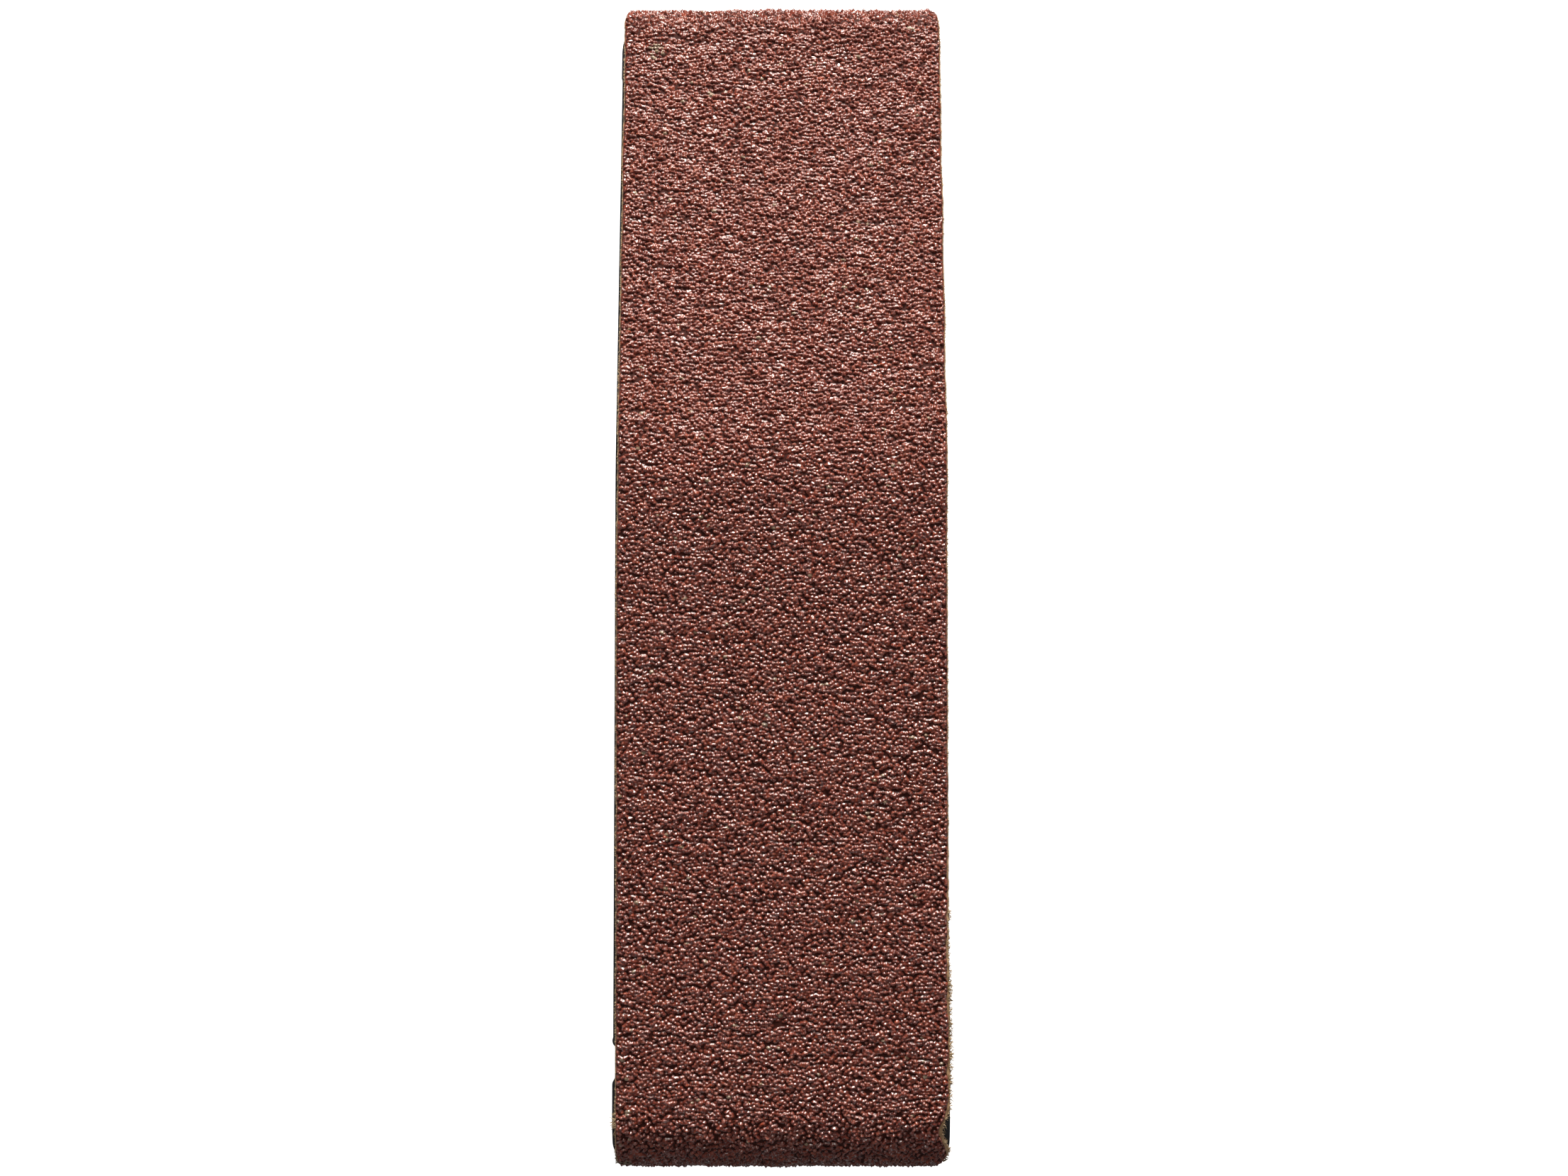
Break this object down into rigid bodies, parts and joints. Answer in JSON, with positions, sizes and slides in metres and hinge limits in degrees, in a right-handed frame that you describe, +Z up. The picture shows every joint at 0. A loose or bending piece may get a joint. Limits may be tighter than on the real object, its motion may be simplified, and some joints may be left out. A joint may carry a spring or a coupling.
{
  "type": "sanding stick",
  "caption": "Hand sanding stick: a two-part moulded body with a bent working face and a spring-loaded end shoe that stretches an endless abrasive cloth belt.",
  "frame": {"origin": "middle of the footprint, on the surface that the stick lies on", "axes": "+X across the width, +Y along the stick to the thin tip, +Z up through the bent working face"},
  "size_m": [0.0402, 0.1442, 0.0211],
  "materials": {
    "abrasive": "coarse reddish-brown aluminium oxide grains under a glossy resin coat",
    "belt_cloth": "tan cotton twill, sized and slightly frayed at the edges",
    "splice_film": "smooth film",
    "shell_plastic": "fine moulded texture",
    "shoe_plastic": "fine moulded texture",
    "pad_foam": "closed-cell foam",
    "rod_steel": "ground",
    "spring_steel": "drawn spring wire",
    "zinc_steel": "zinc plated"
  },
  "bodies": {
    "stick": {"front_shell": "shell_plastic", "back_shell": "shell_plastic", "front_pad": "pad_foam", "back_pad": "pad_foam", "shell_screws": "zinc_steel", "left_tension_spring": "spring_steel", "right_tension_spring": "spring_steel"},
    "shoe": {"tension_shoe": "shoe_plastic", "left_guide_rod": "rod_steel", "right_guide_rod": "rod_steel", "left_spring_washer": "zinc_steel", "right_spring_washer": "zinc_steel", "left_e_clip": "spring_steel", "right_e_clip": "spring_steel", "rod_screws": "zinc_steel"},
    "belt": {"belt_cloth": "belt_cloth", "belt_grit": "abrasive", "belt_splice_tape": "splice_film"}
  },
  "joints": [
    {"name": "shoe_slide", "type": "slide", "parent": "stick", "child": "shoe", "axis": [0, 1, 0], "range_m": [0, 0.0035], "stiffness_N_per_m": 3800, "springref_m": -0.008, "deforming": ["left_tension_spring", "right_tension_spring"]},
    {"name": "belt_slide_off", "type": "slide", "parent": "stick", "child": "belt", "axis": [1, 0, 0], "range_m": [-0.045, 0.045]}
  ]
}
